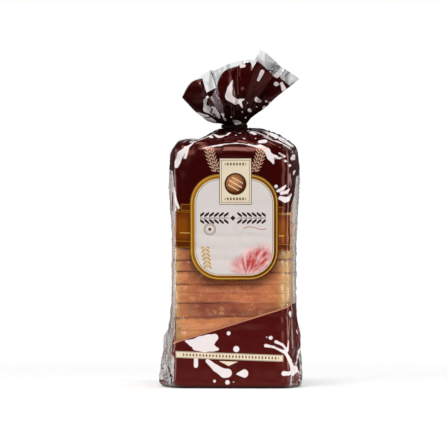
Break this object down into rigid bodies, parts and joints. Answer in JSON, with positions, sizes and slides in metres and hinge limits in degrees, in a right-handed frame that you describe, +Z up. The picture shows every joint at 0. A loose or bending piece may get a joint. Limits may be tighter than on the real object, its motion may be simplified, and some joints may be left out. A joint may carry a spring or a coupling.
{
  "type": "sliced loaf in bread bag",
  "caption": "Sliced sandwich loaf standing on end in a printed, part-clear plastic bread bag, with a tied neck and a fanned, pleated bag mouth.",
  "frame": {"origin": "centre of the flat base that the pack stands on", "axes": "+Z up from the base to the bag's mouth, the printed front panel faces -Y, +X to the right as seen from the front"},
  "size_m": [0.1363, 0.106, 0.3187],
  "materials": {
    "printed_film": "dark brown print on thin clear film, glossy, with clear windows and white splashes",
    "clear_film": "unprinted clear film, glossy",
    "crust": "baked crust, matt, fine wrinkles",
    "crumb": "soft white crumb, matt",
    "tie": "dark brown coated tie, satin"
  },
  "bodies": {
    "root": {"bag": "printed_film", "twist_tie": "tie"}
  },
  "joints": []
}
